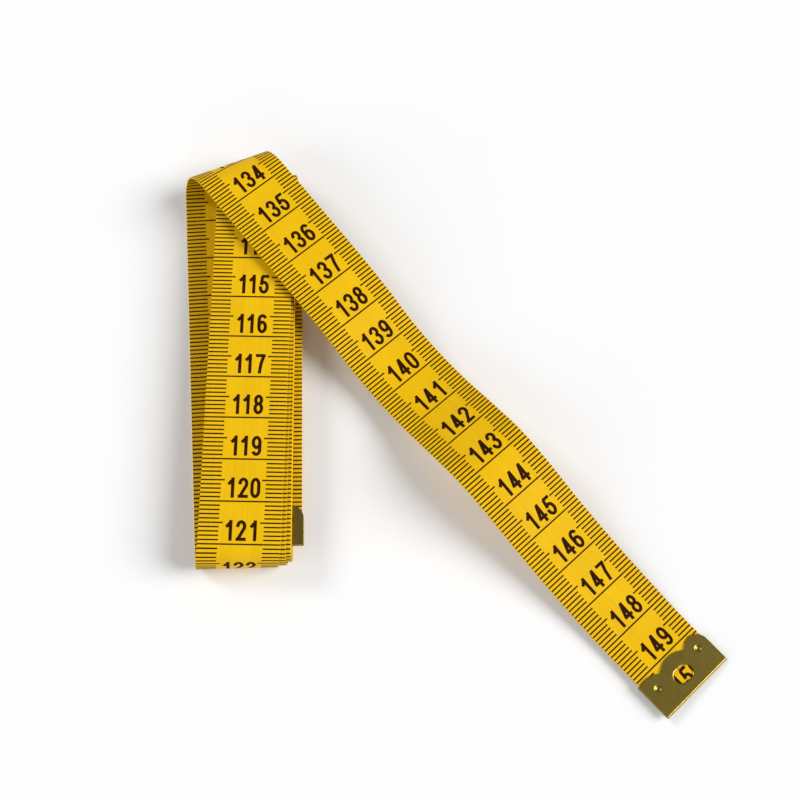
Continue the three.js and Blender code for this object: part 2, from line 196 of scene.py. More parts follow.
# Sizes that follow
half_width = TAPE_WIDTH / 2
half_thickness = TAPE_THICKNESS / 2
tip_half_thickness = half_thickness + TIP_CLEARANCE + TIP_SHEET
tip_end = TIP_CLEARANCE + TIP_SHEET
tip_half_width = half_width + TIP_OVERHANG
pitch = TAPE_THICKNESS + LAYER_GAP
core_pitch = tip_half_thickness + PIECE_GAP + half_thickness
last_run = 2 * LOOP_COUNT
middle_height = half_thickness + core_pitch + (LOOP_COUNT - 1) * pitch
winding_top = 2 * middle_height
turn_top = winding_top + OVER_WINDING_ROUTE[0][1]
turn_half_height = (turn_top - half_thickness) / 2
landing_distance = TAIL_LENGTH - LANDED_LENGTH
foot_distance = landing_distance - FOOT_BEFORE_LANDING
end_roll = math.radians(END_ROLL)
end_height = tip_half_thickness * math.cos(end_roll) + tip_half_width * math.sin(end_roll)

UP = np.array([0.0, 0.0, 1.0])


def lerp(start, end, share):
    return start + (end - start) * share


def smooth(share):
    return share ** 2 * (3 - 2 * share)


def unit(vectors):
    return vectors / np.linalg.norm(vectors, axis=-1, keepdims=True)


def lengths_along(points):
    steps = np.linalg.norm(np.diff(points, axis=0), axis=1)
    return np.concatenate([[0], np.cumsum(steps)])


# Winding

def run_height(run):
    if run == 0:
        return middle_height
    offset = core_pitch + (math.ceil(run / 2) - 1) * pitch
    return middle_height + offset if run % 2 == 1 else middle_height - offset


def run_line(run):
    """Shift and slope of a run's line in plan, x = shift + slope * y."""
    if run == 0:
        return ZERO_RUN_SHIFT, -math.tan(math.radians(ZERO_RUN_LEAN))
    if run == last_run:
        return LOWER_RUN_SHIFT, -math.tan(math.radians(LOWER_RUN_LEAN))
    level = math.ceil(run / 2)
    share = max(0, 1 - (LOOP_COUNT - level) / SLID_LOOPS)
    lean = lerp(INNER_RUN_LEAN, TOP_RUN_LEAN, share)
    return lerp(INNER_RUN_SHIFT, TOP_RUN_SHIFT, share), -math.tan(math.radians(lean))


def fold_shape(run, top_crest):
    """Half rise, reach, side and middle (y, z) of the fold between a run and the next one."""
    rise = (run_height(run + 1) - run_height(run)) / 2
    reach = FOLD_ROUNDNESS * abs(rise)
    at_top = run % 2 == 0
    turns_outside = (last_run - 1 - run) // 2
    crest = top_crest - turns_outside * TOP_FOLD_STEP if at_top else turns_outside * pitch
    side = 1 if at_top else -1
    return rise, reach, side, crest - side * reach, run_height(run) + rise


def winding_rows(run, share, y, z, forward_y, forward_z):
    """Middle, across and back-face direction of lines across the tape."""
    shift, slope = run_line(run)
    next_shift, next_slope = run_line(min(run + 1, last_run))
    x = lerp(shift + slope * y, next_shift + next_slope * y, share)
    flat = np.zeros_like(share)
    middle = np.column_stack([x, y, z])
    across = unit(np.column_stack([flat + 1, -lerp(slope, next_slope, share), flat]))
    forward = np.column_stack([flat, forward_y, forward_z])
    return middle, across, unit(np.cross(across, forward))


def fold_rows(run, top_crest, steps):
    rise, reach, side, y, z = fold_shape(run, top_crest)
    share = np.linspace(0, 1, steps + 1)
    angle = math.pi * share
    return winding_rows(
        run, share,
        y + side * reach * np.sin(angle), z - rise * np.cos(angle),
        side * reach * np.cos(angle), rise * np.sin(angle),
    )


def turn_start_at(top_crest):
    _, _, _, y, _ = fold_shape(last_run - 2, top_crest)
    shift, slope = run_line(last_run)
    return np.array([shift + slope * y, y, run_height(last_run)])


def wound_rows(top_crest, steps):
    """All lines across the tape from its zero end to the start of the turn."""
    _, reach, _, y, _ = fold_shape(1, top_crest)
    zero_y = y - reach + half_thickness + PIECE_GAP + tip_end
    start = turn_start_at(top_crest)
    one = np.zeros(1)
    rows = [winding_rows(0, one, one + zero_y, one + run_height(0), one + 1, one)]
    rows += [fold_rows(run, top_crest, steps) for run in range(last_run)]
    rows.append(winding_rows(last_run, one, one + start[1], one + start[2], one + 1, one))
    return [np.concatenate(kind) for kind in zip(*rows)]


def wound_length(top_crest):
    return lengths_along(wound_rows(top_crest, FOLD_STEPS)[0])[-1]


def top_crest_for(length):
    """The winding's length grows evenly with the place of its outermost top fold."""
    near = TAPE_LENGTH / last_run
    far = near + TAPE_WIDTH
    growth = (wound_length(far) - wound_length(near)) / (far - near)
    return near + (length - wound_length(near)) / growth


# Turn: a round fold whose axis lies halfway between the lower run and the tail.
# The tape crosses it at a slant, and each line along the axis stays straight.

lower_heading = math.radians(90 + LOWER_RUN_LEAN)
axis_angle = (lower_heading + math.radians(TAIL_HEADING)) / 2
turn_axis = np.array([math.cos(axis_angle), math.sin(axis_angle), 0])
turn_outward = np.cross(UP, turn_axis)
slant = axis_angle + math.pi / 2 - lower_heading

turn_angles = np.linspace(0, math.pi, CURVE_STEPS + 1)
turn_reach = np.where(turn_angles < math.pi / 2, TURN_LOWER_REACH, TURN_UPPER_REACH)
turn_out = TURN_LOWER_REACH - turn_reach * (1 - np.sin(turn_angles))
turn_rise = turn_half_height * (1 - np.cos(turn_angles))
turn_arc = lengths_along(np.column_stack([turn_out, turn_rise]))
turn_length = turn_arc[-1] / math.cos(slant)
turn_from = TAPE_LENGTH - TAIL_LENGTH - turn_length
turn_to = TAPE_LENGTH - TAIL_LENGTH
turn_flat = half_width * math.tan(slant) + PIECE_GAP

top_crest = top_crest_for(turn_from)
turn_start = turn_start_at(top_crest)


def turn_places(s, t, lift):
    """Points of the turn, at length s, t to the right of the middle and lift over the front face."""
    along = (s - turn_from) * math.cos(slant) - t * math.sin(slant)
    aside = (s - turn_from) * math.sin(slant) + t * math.cos(slant)
    angle = np.interp(along, turn_arc, turn_angles)
    past = np.maximum(along - turn_arc[-1], 0)
    out = np.interp(along, turn_arc, turn_out) + np.minimum(along, 0) - past
    rise = np.interp(along, turn_arc, turn_rise)
    reach = np.where(angle < math.pi / 2, TURN_LOWER_REACH, TURN_UPPER_REACH)
    forward = unit(np.column_stack([reach * np.cos(angle), turn_half_height * np.sin(angle)]))
    back = np.outer(forward[:, 0], UP) - np.outer(forward[:, 1], turn_outward)
    middle = turn_start + np.outer(aside, turn_axis) + np.outer(out, turn_outward) + np.outer(rise, UP)
    return middle - back * lift[:, None]


def turn_point(angle):
    """Point of the fold's outline at an angle, straight across the turn's axis."""
    out = np.interp(angle, turn_angles, turn_out)
    rise = np.interp(angle, turn_angles, turn_rise)
    return turn_start + out * turn_outward + rise * UP


# Tail

tail_start = turn_places(np.array([turn_to]), np.zeros(1), np.zeros(1))[0]
tail_route = np.array(
    [(distance, winding_top + height) for distance, height in OVER_WINDING_ROUTE]
    + FREE_ROUTE
    + [(landing_distance, end_height)]
)


def tail_profile(distance):
    """Height and slope of the tail, on a smooth curve through the route's points."""
    places, heights = tail_route.T
    slopes = np.zeros(len(places))
    slopes[1:-1] = (heights[2:] - heights[:-2]) / (places[2:] - places[:-2])
    index = np.clip(np.searchsorted(places, distance, side="right") - 1, 0, len(places) - 2)
    span = places[index + 1] - places[index]
    share = np.clip((distance - places[index]) / span, 0, 1)
    step = heights[index + 1] - heights[index]
    leave = slopes[index] * span
    arrive = slopes[index + 1] * span
    bend = 3 * step - 2 * leave - arrive
    twist = leave + arrive - 2 * step
    height = heights[index] + share * (leave + share * (bend + share * twist))
    slope = np.where(share < 1, (leave + share * (2 * bend + 3 * share * twist)) / span, 0)
    return height, slope


def tail_rows():
    """Distance in plan, middle, across and back-face direction of lines across the tail."""
    distance = np.linspace(0, TAIL_LENGTH, CURVE_STEPS + 1)
    first = math.radians(TAIL_HEADING)
    heading = first + distance / TAIL_SWING_RADIUS
    height, slope = tail_profile(distance)
    x = tail_start[0] + TAIL_SWING_RADIUS * (np.sin(heading) - math.sin(first))
    y = tail_start[1] - TAIL_SWING_RADIUS * (np.cos(heading) - math.cos(first))
    forward = unit(np.column_stack([np.cos(heading), np.sin(heading), slope]))
    level = np.column_stack([-np.sin(heading), np.cos(heading), np.zeros_like(heading)])
    landed = np.clip((distance - foot_distance) / FOOT_BEFORE_LANDING, 0, 1)
    roll = end_roll * smooth(landed)[:, None]
    across = level * np.cos(roll) + np.cross(level, forward) * np.sin(roll)
    return distance, np.column_stack([x, y, height]), across, np.cross(across, forward)


wound_middle, wound_across, wound_back = wound_rows(top_crest, FINE_FOLD_STEPS)
wound_s = lengths_along(wound_middle)
wound_s *= turn_from / wound_s[-1]
tail_distance, tail_middle, tail_across, tail_back = tail_rows()
tail_s = turn_to + lengths_along(tail_middle)


def interpolate(s, known_s, rows):
    return np.column_stack([np.interp(s, known_s, column) for column in rows.T])


def row_places(s, t, lift, known_s, middle, across, back):
    places = interpolate(s, known_s, middle) + unit(interpolate(s, known_s, across)) * t[:, None]
    return places - unit(interpolate(s, known_s, back)) * lift[:, None]


def tape_places(s, t, lift):
    """Points on the tape, at length s, t to the right of its middle and lift towards its front."""
    s, t, lift = (np.array(values, float) for values in np.broadcast_arrays(s, t, lift))
    places = np.empty((len(s), 3))
    before = s < turn_from - turn_flat
    after = s > turn_to + turn_flat
    turning = ~(before | after)
    wound = (wound_s, wound_middle, wound_across, wound_back)
    tail = (tail_s, tail_middle, tail_across, tail_back)
    places[before] = row_places(s[before], t[before], lift[before], *wound)
    places[after] = row_places(s[after], t[after], lift[after], *tail)
    places[turning] = turn_places(s[turning], t[turning], lift[turning])
    return places


def tail_length_at(distance):
    return float(np.interp(distance, tail_distance, tail_s))


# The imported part's frame, found from the first hinge of the turn

hinge_angle = math.pi / 2 / TURN_HINGES
hinge_length = np.interp(hinge_angle, turn_angles, turn_arc) / math.cos(slant)
hinge_place = tape_places([turn_from + hinge_length], [0], [0])[0]
packed_hinge = next(joint for joint in frame["joints"] if joint["name"] == "turn_hinge_1")
frame_shift = np.array(packed_hinge["pos_m"]) / METRES - hinge_place
frame_shift[2] = 0


def packed(places):
    return (np.asarray(places) + frame_shift) * METRES


# Materials

def new_material(name):
    material = bpy.data.materials.new(name)
    material.use_nodes = True
    nodes = material.node_tree.nodes
    shader = nodes["Principled BSDF"]
    return material, nodes, material.node_tree.links, shader


def scaled_noise(nodes, links, vector, scale, detail, roughness=0.5):
    """Noise stretched by its own scale along each axis."""
    mapping = nodes.new("ShaderNodeMapping")
    mapping.inputs["Scale"].default_value = scale
    links.new(vector, mapping.inputs["Vector"])
    noise = nodes.new("ShaderNodeTexNoise")
    noise.inputs["Scale"].default_value = 1
    noise.inputs["Detail"].default_value = detail
    noise.inputs["Roughness"].default_value = roughness
    links.new(mapping.outputs["Vector"], noise.inputs["Vector"])
    return noise.outputs["Fac"]


def colour_ramp(nodes, links, factor, stops):
    ramp = nodes.new("ShaderNodeValToRGB")
    elements = ramp.color_ramp.elements
    while len(elements) < len(stops):
        elements.new(0.5)
    for element, (place, colour) in zip(elements, stops):
        element.position = place
        element.color = (*colour, 1)
    links.new(factor, ramp.inputs["Fac"])
    return ramp.outputs["Color"]


def multiplied(nodes, links, first, second):
    mix = nodes.new("ShaderNodeMix")
    mix.data_type = "RGBA"
    mix.blend_type = "MULTIPLY"
    mix.inputs["Factor"].default_value = 1
    links.new(first, mix.inputs["A"])
    links.new(second, mix.inputs["B"])
    return mix.outputs["Result"]


def set_relief(nodes, links, shader, height, distance, strength):
    bump = nodes.new("ShaderNodeBump")
    bump.inputs["Strength"].default_value = strength
    bump.inputs["Distance"].default_value = distance * METRES
    links.new(height, bump.inputs["Height"])
    links.new(bump.outputs["Normal"], shader.inputs["Normal"])


def set_roughness(nodes, links, shader, share, span):
    roughness = nodes.new("ShaderNodeMapRange")
    roughness.inputs["To Min"].default_value = span[0]
    roughness.inputs["To Max"].default_value = span[1]
    links.new(share, roughness.inputs["Value"])
    links.new(roughness.outputs["Result"], shader.inputs["Roughness"])


def tape_vector(nodes):
    uv = nodes.new("ShaderNodeUVMap")
    uv.uv_map = "tape"
    return uv.outputs["UV"]


def math_node(nodes, links, operation, first, second=None):
    node = nodes.new("ShaderNodeMath")
    node.operation = operation
    for socket, value in zip(node.inputs, (first, second)):
        if isinstance(value, (int, float)):
            socket.default_value = value
        elif value is not None:
            links.new(value, socket)
    return node.outputs["Value"]


def tape_material():
    """Yellow coated weave: faint streaks along the tape, soft patches, and a fine weave in relief."""
    material, nodes, links, shader = new_material("coated_weave")
    vector = tape_vector(nodes)
    streaks = scaled_noise(nodes, links, vector, TAPE_STREAK_SCALE, 3)
    patches = scaled_noise(nodes, links, vector, TAPE_PATCH_SCALE, 2)
    streak_colour = colour_ramp(nodes, links, streaks, TAPE_COLOURS)
    patch_colour = colour_ramp(nodes, links, patches, TAPE_PATCHES)
    colour = multiplied(nodes, links, streak_colour, patch_colour)
    links.new(colour, shader.inputs["Base Color"])

    separate = nodes.new("ShaderNodeSeparateXYZ")
    links.new(vector, separate.inputs["Vector"])
    thread_turns = 2 * math.pi / (THREAD_PITCH * METRES)
    warp = math_node(nodes, links, "MULTIPLY", separate.outputs["Y"], thread_turns)
    weft = math_node(nodes, links, "MULTIPLY", separate.outputs["X"], thread_turns)
    warp = math_node(nodes, links, "SINE", warp)
    weft = math_node(nodes, links, "SINE", weft)
    weave = math_node(nodes, links, "MULTIPLY", warp, weft)
    set_relief(nodes, links, shader, weave, WEAVE_RELIEF, WEAVE_STRENGTH)
    set_roughness(nodes, links, shader, patches, TAPE_ROUGHNESS)
    shader.inputs["Specular IOR Level"].default_value = TAPE_SPECULAR
    return material


def ink_material():
    """Black printing ink with slightly uneven cover."""
    material, nodes, links, shader = new_material("printing_ink")
    geometry = nodes.new("ShaderNodeNewGeometry")
    cover = scaled_noise(nodes, links, geometry.outputs["Position"], INK_COVER_SCALE, 2)
    links.new(colour_ramp(nodes, links, cover, INK_COLOURS), shader.inputs["Base Color"])
    shader.inputs["Roughness"].default_value = INK_ROUGHNESS
    shader.inputs["Specular IOR Level"].default_value = INK_SPECULAR
    return material


def brass_material():
    """Dulled brass sheet under clear lacquer, with a fine grain along the fold and soft stains."""
    material, nodes, links, shader = new_material("dulled_brass")
    vector = tape_vector(nodes)
    grain = scaled_noise(nodes, links, vector, BRASS_GRAIN_SCALE, 3, BRASS_GRAIN_HARSHNESS)
    stains = scaled_noise(nodes, links, vector, BRASS_STAIN_SCALE, 3)
    stain_colour = colour_ramp(nodes, links, stains, BRASS_COLOURS)
    grain_colour = colour_ramp(nodes, links, grain, BRASS_GRAIN)
    colour = multiplied(nodes, links, stain_colour, grain_colour)
    links.new(colour, shader.inputs["Base Color"])
    shader.inputs["Metallic"].default_value = 1
    shader.inputs["Coat Weight"].default_value = LACQUER_WEIGHT
    shader.inputs["Coat Roughness"].default_value = LACQUER_ROUGHNESS
    set_roughness(nodes, links, shader, grain, BRASS_ROUGHNESS)
    set_relief(nodes, links, shader, grain, BRASS_RELIEF, BRASS_RELIEF_STRENGTH)
    return material


def floor_material():
    material, _, _, shader = new_material("pale_floor")
    shader.inputs["Base Color"].default_value = FLOOR_COLOUR
    shader.inputs["Roughness"].default_value = FLOOR_ROUGHNESS
    shader.inputs["Specular IOR Level"].default_value = FLOOR_SPECULAR
    return material


# Meshes: an edge that bends by more than its sharp angle, in degrees, is shaded as a crease

TAPE_SHARP_ANGLE = 40
TIP_SHARP_ANGLE = 50


def new_object(name, places, faces, material, uv=None, sharp_angle=TAPE_SHARP_ANGLE):
    mesh = bpy.data.meshes.new(name)
    mesh.from_pydata(packed(places).tolist(), [], faces)
    mesh.update()
    tool = bmesh.new()
    tool.from_mesh(mesh)
    bmesh.ops.recalc_face_normals(tool, faces=tool.faces)
    tool.to_mesh(mesh)
    tool.free()
    mesh.polygons.foreach_set("use_smooth", np.ones(len(mesh.polygons), bool))
    mesh.set_sharp_from_angle(angle=math.radians(sharp_angle))
    if uv is not None:
        layer = mesh.uv_layers.new(name="tape")
        corners = np.zeros(len(mesh.loops), np.int32)
        mesh.loops.foreach_get("vertex_index", corners)
        layer.data.foreach_set("uv", np.asarray(uv, np.float32)[corners].ravel())
    mesh.materials.append(material)
    made = bpy.data.objects.new(name, mesh)
    bpy.context.scene.collection.objects.link(made)
    return made


# Cuts between the stretches of tape. A cut is the length at the tape's middle and its slant,
# so that it lies at length + slant * t. Within the turn the cuts run along the turn's axis.

def square_cut(length):
    return length, 0.0


def turn_cut(angle):
    along = np.interp(angle, turn_angles, turn_arc)
    return turn_from + along / math.cos(slant), math.tan(slant)


FOLD_LEAD = 8
tail_end_distance = float(np.interp(TAPE_LENGTH, tail_s, tail_distance))
tail_cut_distances = [
    KNEE_DISTANCE / 2,
    (KNEE_DISTANCE + VALLEY_DISTANCE) / 2,
    (VALLEY_DISTANCE + RIDGE_DISTANCE) / 2,
    (RIDGE_DISTANCE + foot_distance) / 2,
    (foot_distance + tail_end_distance) / 2,
]
cuts = (
    [square_cut(0), square_cut(turn_from - FOLD_LEAD)]
    + [turn_cut(math.pi * step / TURN_HINGES) for step in range(1, TURN_HINGES)]
    + [square_cut(tail_length_at(distance)) for distance in tail_cut_distances]
    + [square_cut(TAPE_LENGTH)]
)

# Each stretch: its name, the nodes it stands for, its bodies, and the ends of its bend
BEND_REACH = 8


def turn_bend(step):
    angles = math.pi * step / TURN_HINGES, math.pi * (step + 1) / TURN_HINGES
    return [turn_point(angle) for angle in angles]


def tail_bend(distance):
    places = tail_length_at(distance - BEND_REACH), tail_length_at(distance + BEND_REACH)
    return list(tape_places(places, [0, 0], [0, 0]))


stretches = [
    ("wound", "tape_winding", ("wound_tape",), None),
    ("fold_1", "turn_stretch_1", ("wound_tape", "turn_1"), turn_bend(0)),
    ("fold_2", "turn_stretch_2", ("turn_1", "turn_2"), turn_bend(1)),
    ("fold_3", "turn_stretch_3", ("turn_2", "turn_3"), turn_bend(2)),
    ("fold_4", "tail_over_winding", ("turn_3", "tail_1"), turn_bend(3)),
    ("knee", "tail_descent", ("tail_1", "tail_2"), tail_bend(KNEE_DISTANCE)),
    ("valley", "tail_rise", ("tail_2", "tail_3"), tail_bend(VALLEY_DISTANCE)),
    ("ridge", "tail_slope", ("tail_3", "tail_4"), tail_bend(RIDGE_DISTANCE)),
    ("foot", "tail_end", ("tail_4", "tail_5"), tail_bend(foot_distance)),
    ("end", "tail_end", ("tail_5",), None),
]


def follow(piece, bodies, bend):
    """A stretch rides on its body, or, where it has a bend, stays in place with its transform baked into
    its mesh.
    """
    if bend is None:
        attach(piece, bodies[0])
    else:
        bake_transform(piece)


# Tape: a flat section with rounded edges, carried along each stretch

ROUND_STEPS = 3
WOUND_COLUMNS = 6
FREE_COLUMNS = 20
RUN_STEP = 6
FREE_STEP = 0.6


def tape_section(columns):
    """Sideways places and lifts of the points round the tape's section."""
    flat = half_width - EDGE_ROUND
    side = half_thickness - EDGE_ROUND
    face = np.linspace(-flat, flat, columns + 1)
    corner = np.linspace(math.pi / 2, 0, ROUND_STEPS + 1)[1:]
    corner_t = flat + EDGE_ROUND * np.cos(corner)
    corner_lift = side + EDGE_ROUND * np.sin(corner)
    t = np.concatenate([face, corner_t, corner_t[::-1]])
    lift = np.concatenate([np.full(columns + 1, half_thickness), corner_lift, -corner_lift[::-1]])
    return np.concatenate([t, -t]), np.concatenate([lift, -lift])


def stretch_shares(index):
    """Places of the rows of a stretch, as shares of its length."""
    start, end = cuts[index][0], cuts[index + 1][0]
    if index > 0:
        return np.linspace(0, 1, math.ceil((end - start) / FREE_STEP) + 1)
    rows = [np.array([start])]
    for low, high in zip(wound_s[:-1], wound_s[1:]):
        high = min(high, end)
        if high > low:
            rows.append(np.linspace(low, high, math.ceil((high - low) / RUN_STEP) + 1)[1:])
    return (np.concatenate(rows) - start) / (end - start)


def cut_length(cut, t):
    return cut[0] + cut[1] * t


def tape_stretch(index, material):
    t, lift = tape_section(WOUND_COLUMNS if index == 0 else FREE_COLUMNS)
    shares = stretch_shares(index)[:, None]
    s = lerp(cut_length(cuts[index], t), cut_length(cuts[index + 1], t), shares)
    all_t = np.tile(t, len(shares))
    places = tape_places(s.ravel(), all_t, np.tile(lift, len(shares)))
    ring = len(t)
    faces = [list(range(ring)), list(range(len(places) - ring, len(places)))[::-1]]
    for row in range(0, len(places) - ring, ring):
        for corner in range(ring):
            a = row + corner
            b = row + (corner + 1) % ring
            faces.append([a, a + ring, b + ring, b])
    uv = np.column_stack([s.ravel(), all_t]) * METRES
    return new_object(f"tape_{stretches[index][0]}", places, faces, material, uv)


# Print: each line or stroke is a thin plate of ink, with its left and right edges on the tape

CORNER_SKIP = 0.05
SLANT_SEGMENTS = 12
ARC_STEPS = 14
LEAST_MITRE = 0.6


def arc(x, y, reach_x, reach_y, start, stop):
    angles = np.radians(np.linspace(start, stop, ARC_STEPS + 1))
    return np.column_stack([x + reach_x * np.cos(angles), y + reach_y * np.sin(angles)])


def line(*points):
    return np.array(points, float)


def joined(*parts):
    return np.concatenate(parts)


# Middle lines of the digits' strokes, in a box from (0, 0) to (1, 1) that half a stroke surrounds
LOW = -DIGIT_STROKE / 2 / (DIGIT_HEIGHT - DIGIT_STROKE)
HIGH = 1 - LOW
LEFT = -DIGIT_STROKE / 2 / (DIGIT_WIDTH - DIGIT_STROKE)
RIGHT = 1 - LEFT
SIX = [
    joined(arc(0.5, 0.74, 0.5, 0.26, 22, 180), line((0, 0.5), (0, 0.3))),
    arc(0.5, 0.3, 0.5, 0.3, 0, 360),
]
DIGITS = {
    "0": [
        joined(arc(0.5, 0.68, 0.5, 0.32, 0, 180), arc(0.5, 0.32, 0.5, 0.32, 180, 360), line((1, 0.68))),
    ],
    "1": [line((0.74, LOW), (0.74, HIGH)), line((0.74, 0.97), (0.1, 0.69))],
    "2": [
        joined(arc(0.5, 0.74, 0.5, 0.26, 190, -25), line((0.62, 0.4), (0.1, 0.02))),
        line((LEFT, 0), (RIGHT, 0)),
    ],
    "3": [
        joined(arc(0.48, 0.76, 0.48, 0.24, 188, -80), line((0.4, 0.53))),
        joined(line((0.5, 0.53)), arc(0.48, 0.265, 0.52, 0.265, 80, -188)),
    ],
    "4": [
        line((0.72, LOW), (0.72, HIGH)),
        line((0.66, 1), (0.02, 0.27)),
        line((LEFT, 0.24), (RIGHT, 0.24)),
    ],
    "5": [
        line((0.12, 1), (RIGHT, 1)),
        line((0.22, 1), (0.06, 0.46)),
        arc(0.47, 0.315, 0.53, 0.315, 140, -190),
    ],
    "6": SIX,
    "7": [line((LEFT, 1), (RIGHT, 1)), line((0.98, 0.98), (0.6, 0.5), (0.38, LOW))],
    "8": [arc(0.5, 0.765, 0.44, 0.235, 0, 360), arc(0.5, 0.27, 0.5, 0.27, 0, 360)],
    "9": [1 - stroke for stroke in SIX],
}


def refined(points):
    """The same line with short steps, so that a plate can follow the tape's bends."""
    fine = [points[:1]]
    for start, end in zip(points[:-1], points[1:]):
        count = math.ceil(np.linalg.norm(end - start) / STROKE_STEP)
        fine.append(lerp(start, end, np.linspace(0, 1, count + 1)[1:, None]))
    return np.concatenate(fine)


def stroke_edges(middle_line):
    """Left and right edges of a stroke along its middle line."""
    points = refined(middle_line)
    closed = np.allclose(points[0], points[-1])
    steps = unit(np.diff(points, axis=0))
    before = np.concatenate([steps[-1:] if closed else steps[:1], steps])
    after = np.concatenate([steps, steps[:1] if closed else steps[-1:]])
    direction = unit(before + after)
    side = np.column_stack([-direction[:, 1], direction[:, 0]])
    spread = DIGIT_STROKE / 2 / np.maximum(np.sum(direction * before, axis=1), LEAST_MITRE)
    return points + side * spread[:, None], points - side * spread[:, None]


def number_plates(number, line_s, face):
    """Strokes of a number that stands beside its line, each a little higher than the one it crosses."""
    plates = []
    text = str(number)
    box = np.array([DIGIT_WIDTH - DIGIT_STROKE, DIGIT_HEIGHT - DIGIT_STROKE])
    steps = [ONES_PITCH if pair == ("1", "1") else DIGIT_PITCH for pair in zip(text, text[1:])]
    for place, digit in enumerate(text):
        middle = PRINT_SHIFT + sum(steps[:place]) - sum(steps) / 2
        corner = np.array([middle - box[0] / 2, DIGIT_GAP + DIGIT_STROKE / 2])
        for order, stroke in enumerate(DIGITS[digit]):
            edges = stroke_edges(corner + stroke * box)
            left, right = (np.column_stack([line_s - face * edge[:, 1], edge[:, 0]]) for edge in edges)
            plates.append((left, right, INK_RISE + STROKE_LIFT * order, face))
    return plates


def tick_plate(s, from_t, to_t, face):
    segments = SLANT_SEGMENTS if turn_from - turn_flat < s < turn_to + turn_flat else 1
    t = np.linspace(from_t, to_t, segments + 1)
    left, right = (np.column_stack([np.full_like(t, s + side * LINE_WIDTH / 2), t]) for side in (-1, 1))
    return left, right, INK_RISE, face


def tick_plates(millimetre, face):
    edge = half_width - CORNER_SKIP
    if millimetre % 10 == 0:
        return [tick_plate(millimetre, -edge, edge, face)]
    length = HALF_TICK if millimetre % 5 == 0 else SHORT_TICK
    return [
        tick_plate(millimetre, -edge, PRINT_SHIFT - half_width + length, face),
        tick_plate(millimetre, PRINT_SHIFT + half_width - length, edge, face),
    ]


def printed_plates():
    """All plates as (left edge, right edge, rise, face), edges in (s, t), face 1 in front and -1 behind."""
    plates = []
    for face in (1, -1):
        for millimetre in range(1, TAPE_LENGTH):
            plates += tick_plates(millimetre, face)
        for number in range(1, TAPE_LENGTH // 10 + 1):
            line_s = 10 * number if face == 1 else TAPE_LENGTH - 10 * number
            plates += number_plates(number, line_s, face)
    return plates


def stretch_of(plate):
    """Index of the stretch that holds a plate's middle."""
    s, t = np.concatenate(plate[:2]).mean(axis=0)
    return max(index for index in range(len(stretches)) if s >= cut_length(cuts[index], t))


def printed_stretch(index, plates, material):
    points = []
    faces = []
    for left, right, rise, face in plates:
        count = len(left)
        base = len(points)
        for lift in (half_thickness + rise, half_thickness - INK_ROOT):
            for edge in (left, right):
                points += [(s, t, face * lift) for s, t in edge]
        top_left, top_right, low_left, low_right = (base + count * side for side in range(4))
        for step in range(count - 1):
            faces += [
                [top_left + step, top_right + step, top_right + step + 1, top_left + step + 1],
                [low_left + step, low_left + step + 1, low_right + step + 1, low_right + step],
                [top_left + step, top_left + step + 1, low_left + step + 1, low_left + step],
                [top_right + step, low_right + step, low_right + step + 1, top_right + step + 1],
            ]
        last = count - 1
        faces += [
            [top_left, low_left, low_right, top_right],
            [top_left + last, top_right + last, low_right + last, low_left + last],
        ]
    places = tape_places(*np.array(points).T)
    return new_object(f"print_{stretches[index][0]}", places, faces, material)


# Tips: a folded sheet on a grid, with lobes on its inner edges, a window and two sunk dimples

TIP_COLUMNS = 170
TIP_FACE_ROWS = 84
TIP_FOLD_ROWS = 16
TIP_EDGE_ROUND = 0.1
TIP_CROWDING = 0.7
INNER_DIMPLE_SHARE = 0.2
SLOPE_STEP = 0.001
ANGLE_TOLERANCE = 0.01
FAR = 9.0


def arc_drop(radius, aside):
    """How far a round edge drops from its crest, at a distance to the side."""
    return radius - np.sqrt(np.maximum(radius ** 2 - aside ** 2, 0))


def inner_edge(y):
    """Place of the lobed inner edge, whose corner at positive y is round."""
    lobe_half = LOBE_PITCH / 2
    lobe_radius = (lobe_half ** 2 + LOBE_DEPTH ** 2) / (2 * LOBE_DEPTH)
    from_lobe = (y + lobe_half) % LOBE_PITCH - lobe_half
    into_corner = np.maximum(y - tip_half_width + TIP_CORNER_RADIUS, 0)
    lobes = arc_drop(lobe_radius, from_lobe)
    corner = arc_drop(TIP_CORNER_RADIUS, into_corner)
    return np.maximum(lobes, corner) - TIP_GRIP


def edge_fall(distance):
    """How far a rounded edge lies below the face at a distance from the edge."""
    inside = np.clip(1 - distance / TIP_EDGE_ROUND, 0, 1)
    return TIP_EDGE_ROUND * (1 - np.sqrt(1 - inside ** 2))


def window_distance(x, y):
    """Distance from the rim of the round-ended window, which is a little askew."""
    radius = WINDOW_LENGTH / 2
    straight = WINDOW_WIDTH / 2 - radius
    tilt = math.radians(WINDOW_TILT)
    from_end = x + WINDOW_FROM_END
    along = y * math.cos(tilt) + from_end * math.sin(tilt)
    aside = from_end * math.cos(tilt) - y * math.sin(tilt)
    return np.hypot(np.maximum(np.abs(along) - straight, 0), aside) - radius


def crowded(count):
    """Shares from 0 to 1 that lie closer together near both ends."""
    even = np.linspace(0, 1, count + 1)
    return lerp(even, (1 - np.cos(math.pi * even)) / 2, TIP_CROWDING)


def tip_grid():
    """Grid of the outer face: x, y and the fold's angle, a right angle up in front and down behind."""
    y = lerp(-tip_half_width, tip_half_width, crowded(TIP_COLUMNS))
    round_middle = tip_end - tip_half_thickness
    shares = crowded(TIP_FACE_ROWS)[:, None]
    front_x = lerp(inner_edge(y), round_middle, shares)
    fold = np.linspace(math.pi / 2, -math.pi / 2, TIP_FOLD_ROWS + 1)[1:-1]
    angle = np.concatenate([np.full(len(shares), math.pi / 2), fold, np.full(len(shares), -math.pi / 2)])
    x = np.concatenate([front_x, np.full((len(fold), len(y)), round_middle), front_x[::-1]])
    return x, np.tile(y, (len(x), 1)), np.tile(angle[:, None], (1, len(y)))


